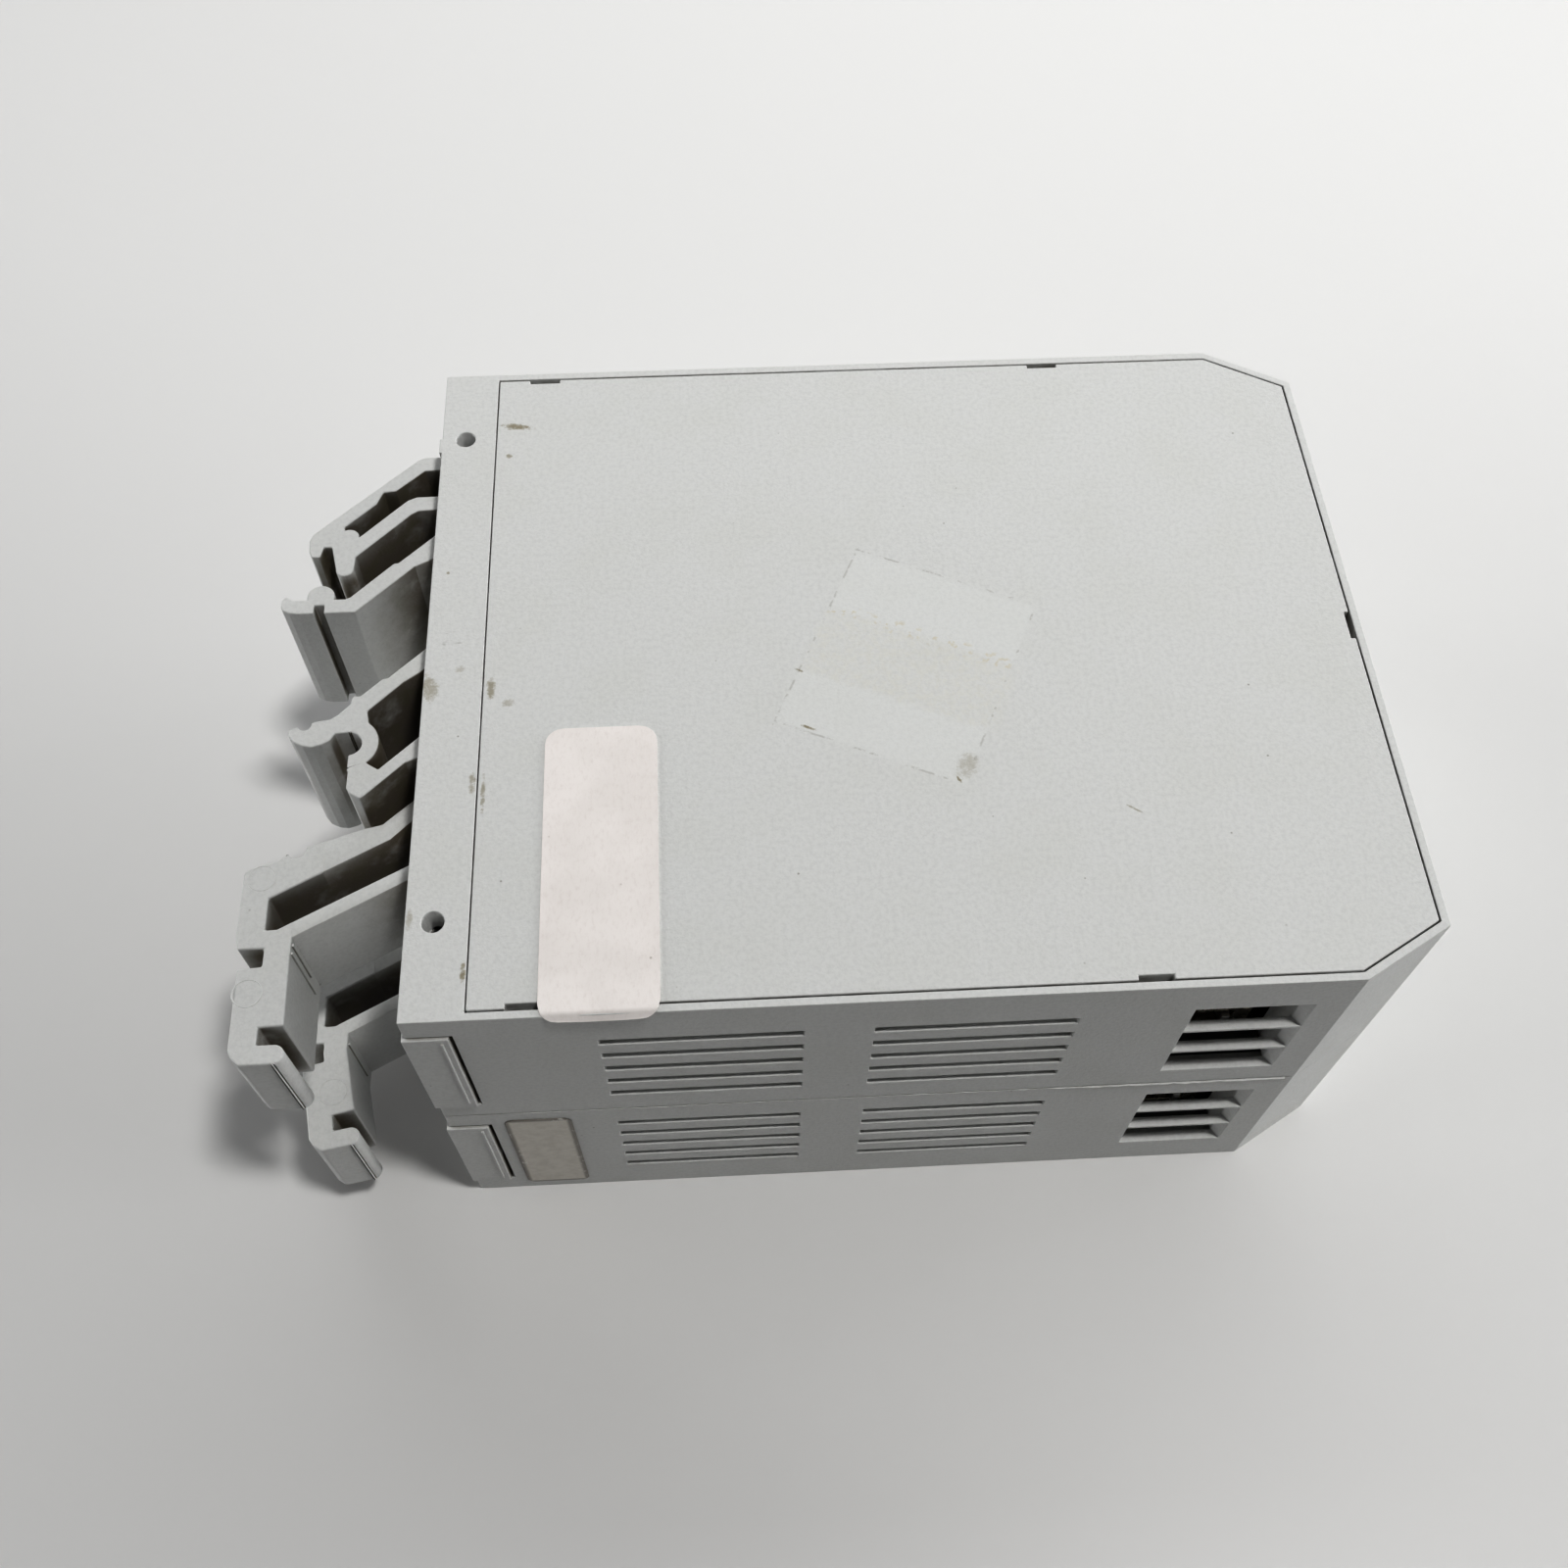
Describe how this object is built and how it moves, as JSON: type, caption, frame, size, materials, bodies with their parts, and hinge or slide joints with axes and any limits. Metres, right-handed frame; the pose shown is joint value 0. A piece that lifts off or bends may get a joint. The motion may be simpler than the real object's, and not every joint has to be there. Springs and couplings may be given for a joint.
{
  "type": "din rail power supply",
  "caption": "Light grey rail-mount power supply case with side covers, louvred terminals, spring claws and sprung release latches.",
  "frame": {"origin": "middle of the part's box, on the surface that the right side cover lies on", "axes": "+X from the rail to the front, +Y up when the part hangs on its rail, +Z along the rail to the part's left side"},
  "size_m": [0.1054, 0.0746, 0.0451],
  "materials": {
    "case_plastic": "light grey moulded ABS, fine satin grain",
    "panel_plastic": "light grey, smooth matt",
    "lens": "clear red",
    "label_paper": "uncoated off-white paper",
    "label_foil": "silver-grey foil, worn",
    "board": "green solder mask",
    "black_plastic": "moulded black",
    "core_steel": "varnished laminations",
    "winding_tape": "yellow insulation tape",
    "capacitor_sleeve": "blue shrink sleeve",
    "aluminium": "extruded, plain",
    "steel": "zinc plated",
    "clip_brass": "bright",
    "cage_brass": "nickelled brass",
    "fuse_glass": "clear",
    "tinned_copper": "tinned",
    "terminal_plastic": "dark grey moulded polyamide"
  },
  "bodies": {
    "case": {"left_shell": "case_plastic", "right_shell": "case_plastic", "left_cover": "case_plastic", "right_cover": "case_plastic", "left_rail_foot": "case_plastic", "right_rail_foot": "case_plastic", "left_latch_arms": "case_plastic", "right_latch_arms": "case_plastic", "front_panel": "panel_plastic", "indicator_lens": "lens", "type_label": "label_paper", "number_label": "label_foil", "main_board": "board", "terminal_board": "board", "board_link": "black_plastic", "transformer_core": "core_steel", "transformer_bobbin": "black_plastic", "transformer_winding": "winding_tape", "smoothing_capacitor": "capacitor_sleeve", "output_capacitor": "capacitor_sleeve", "bridge_rectifier": "black_plastic", "regulator": "black_plastic", "heat_sink": "aluminium", "heat_sink_screw": "steel", "fuse_clips": "clip_brass", "fuse": "fuse_glass", "indicator_led": "lens", "left_contacts": "tinned_copper", "right_contacts": "tinned_copper", "left_top_terminals": "terminal_plastic", "left_bottom_terminals": "terminal_plastic", "right_top_terminals": "terminal_plastic", "right_bottom_terminals": "terminal_plastic"},
    "left_latch": {"left_latch": "case_plastic"},
    "right_latch": {"right_latch": "case_plastic"},
    "left_top_screw_1": {"left_top_screw_1": "steel"},
    "left_top_cage_1": {"left_top_cage_1": "cage_brass"},
    "left_top_screw_2": {"left_top_screw_2": "steel"},
    "left_top_cage_2": {"left_top_cage_2": "cage_brass"},
    "left_top_screw_3": {"left_top_screw_3": "steel"},
    "left_top_cage_3": {"left_top_cage_3": "cage_brass"},
    "left_bottom_screw_1": {"left_bottom_screw_1": "steel"},
    "left_bottom_cage_1": {"left_bottom_cage_1": "cage_brass"},
    "left_bottom_screw_2": {"left_bottom_screw_2": "steel"},
    "left_bottom_cage_2": {"left_bottom_cage_2": "cage_brass"},
    "left_bottom_screw_3": {"left_bottom_screw_3": "steel"},
    "left_bottom_cage_3": {"left_bottom_cage_3": "cage_brass"},
    "right_top_screw_1": {"right_top_screw_1": "steel"},
    "right_top_cage_1": {"right_top_cage_1": "cage_brass"},
    "right_top_screw_2": {"right_top_screw_2": "steel"},
    "right_top_cage_2": {"right_top_cage_2": "cage_brass"},
    "right_top_screw_3": {"right_top_screw_3": "steel"},
    "right_top_cage_3": {"right_top_cage_3": "cage_brass"},
    "right_bottom_screw_1": {"right_bottom_screw_1": "steel"},
    "right_bottom_cage_1": {"right_bottom_cage_1": "cage_brass"},
    "right_bottom_screw_2": {"right_bottom_screw_2": "steel"},
    "right_bottom_cage_2": {"right_bottom_cage_2": "cage_brass"},
    "right_bottom_screw_3": {"right_bottom_screw_3": "steel"},
    "right_bottom_cage_3": {"right_bottom_cage_3": "cage_brass"}
  },
  "joints": [
    {"name": "left_latch_release", "type": "slide", "parent": "case", "child": "left_latch", "axis": [0.4679, -0.8838, 0], "range_m": [0, 0.0025], "stiffness_N_per_m": 5000, "deforming": ["left_latch_arms"]},
    {"name": "right_latch_release", "type": "slide", "parent": "case", "child": "right_latch", "axis": [0.4679, -0.8838, 0], "range_m": [0, 0.0025], "stiffness_N_per_m": 5000, "deforming": ["right_latch_arms"]},
    {"name": "left_top_screw_1_turn", "type": "hinge", "parent": "case", "child": "left_top_screw_1", "pos_m": [0.04345, 0.02983, 0.0281], "axis": [-1, 0, 0], "range_deg": [0, 2401]},
    {"name": "left_top_cage_1_rise", "type": "slide", "parent": "case", "child": "left_top_cage_1", "axis": [1, 0, 0], "range_m": [0, 0.003]},
    {"name": "left_top_screw_2_turn", "type": "hinge", "parent": "case", "child": "left_top_screw_2", "pos_m": [0.04345, 0.02983, 0.0329], "axis": [-1, 0, 0], "range_deg": [0, 2401]},
    {"name": "left_top_cage_2_rise", "type": "slide", "parent": "case", "child": "left_top_cage_2", "axis": [1, 0, 0], "range_m": [0, 0.003]},
    {"name": "left_top_screw_3_turn", "type": "hinge", "parent": "case", "child": "left_top_screw_3", "pos_m": [0.04345, 0.02983, 0.0377], "axis": [-1, 0, 0], "range_deg": [0, 2401]},
    {"name": "left_top_cage_3_rise", "type": "slide", "parent": "case", "child": "left_top_cage_3", "axis": [1, 0, 0], "range_m": [0, 0.003]},
    {"name": "left_bottom_screw_1_turn", "type": "hinge", "parent": "case", "child": "left_bottom_screw_1", "pos_m": [0.04345, -0.02927, 0.0281], "axis": [-1, 0, 0], "range_deg": [0, 2401]},
    {"name": "left_bottom_cage_1_rise", "type": "slide", "parent": "case", "child": "left_bottom_cage_1", "axis": [1, 0, 0], "range_m": [0, 0.003]},
    {"name": "left_bottom_screw_2_turn", "type": "hinge", "parent": "case", "child": "left_bottom_screw_2", "pos_m": [0.04345, -0.02927, 0.0329], "axis": [-1, 0, 0], "range_deg": [0, 2401]},
    {"name": "left_bottom_cage_2_rise", "type": "slide", "parent": "case", "child": "left_bottom_cage_2", "axis": [1, 0, 0], "range_m": [0, 0.003]},
    {"name": "left_bottom_screw_3_turn", "type": "hinge", "parent": "case", "child": "left_bottom_screw_3", "pos_m": [0.04345, -0.02927, 0.0377], "axis": [-1, 0, 0], "range_deg": [0, 2401]},
    {"name": "left_bottom_cage_3_rise", "type": "slide", "parent": "case", "child": "left_bottom_cage_3", "axis": [1, 0, 0], "range_m": [0, 0.003]},
    {"name": "right_top_screw_1_turn", "type": "hinge", "parent": "case", "child": "right_top_screw_1", "pos_m": [0.04345, 0.02983, 0.0169], "axis": [-1, 0, 0], "range_deg": [0, 2401]},
    {"name": "right_top_cage_1_rise", "type": "slide", "parent": "case", "child": "right_top_cage_1", "axis": [1, 0, 0], "range_m": [0, 0.003]},
    {"name": "right_top_screw_2_turn", "type": "hinge", "parent": "case", "child": "right_top_screw_2", "pos_m": [0.04345, 0.02983, 0.0121], "axis": [-1, 0, 0], "range_deg": [0, 2401]},
    {"name": "right_top_cage_2_rise", "type": "slide", "parent": "case", "child": "right_top_cage_2", "axis": [1, 0, 0], "range_m": [0, 0.003]},
    {"name": "right_top_screw_3_turn", "type": "hinge", "parent": "case", "child": "right_top_screw_3", "pos_m": [0.04345, 0.02983, 0.0073], "axis": [-1, 0, 0], "range_deg": [0, 2401]},
    {"name": "right_top_cage_3_rise", "type": "slide", "parent": "case", "child": "right_top_cage_3", "axis": [1, 0, 0], "range_m": [0, 0.003]},
    {"name": "right_bottom_screw_1_turn", "type": "hinge", "parent": "case", "child": "right_bottom_screw_1", "pos_m": [0.04345, -0.02927, 0.0169], "axis": [-1, 0, 0], "range_deg": [0, 2401]},
    {"name": "right_bottom_cage_1_rise", "type": "slide", "parent": "case", "child": "right_bottom_cage_1", "axis": [1, 0, 0], "range_m": [0, 0.003]},
    {"name": "right_bottom_screw_2_turn", "type": "hinge", "parent": "case", "child": "right_bottom_screw_2", "pos_m": [0.04345, -0.02927, 0.0121], "axis": [-1, 0, 0], "range_deg": [0, 2401]},
    {"name": "right_bottom_cage_2_rise", "type": "slide", "parent": "case", "child": "right_bottom_cage_2", "axis": [1, 0, 0], "range_m": [0, 0.003]},
    {"name": "right_bottom_screw_3_turn", "type": "hinge", "parent": "case", "child": "right_bottom_screw_3", "pos_m": [0.04345, -0.02927, 0.0073], "axis": [-1, 0, 0], "range_deg": [0, 2401]},
    {"name": "right_bottom_cage_3_rise", "type": "slide", "parent": "case", "child": "right_bottom_cage_3", "axis": [1, 0, 0], "range_m": [0, 0.003]}
  ],
  "couplings": [
    {"joint": "left_top_screw_1_turn", "follows": "left_top_cage_1_rise", "rad_per_m": 13963},
    {"joint": "left_top_screw_2_turn", "follows": "left_top_cage_2_rise", "rad_per_m": 13963},
    {"joint": "left_top_screw_3_turn", "follows": "left_top_cage_3_rise", "rad_per_m": 13963},
    {"joint": "left_bottom_screw_1_turn", "follows": "left_bottom_cage_1_rise", "rad_per_m": 13963},
    {"joint": "left_bottom_screw_2_turn", "follows": "left_bottom_cage_2_rise", "rad_per_m": 13963},
    {"joint": "left_bottom_screw_3_turn", "follows": "left_bottom_cage_3_rise", "rad_per_m": 13963},
    {"joint": "right_top_screw_1_turn", "follows": "right_top_cage_1_rise", "rad_per_m": 13963},
    {"joint": "right_top_screw_2_turn", "follows": "right_top_cage_2_rise", "rad_per_m": 13963},
    {"joint": "right_top_screw_3_turn", "follows": "right_top_cage_3_rise", "rad_per_m": 13963},
    {"joint": "right_bottom_screw_1_turn", "follows": "right_bottom_cage_1_rise", "rad_per_m": 13963},
    {"joint": "right_bottom_screw_2_turn", "follows": "right_bottom_cage_2_rise", "rad_per_m": 13963},
    {"joint": "right_bottom_screw_3_turn", "follows": "right_bottom_cage_3_rise", "rad_per_m": 13963}
  ]
}
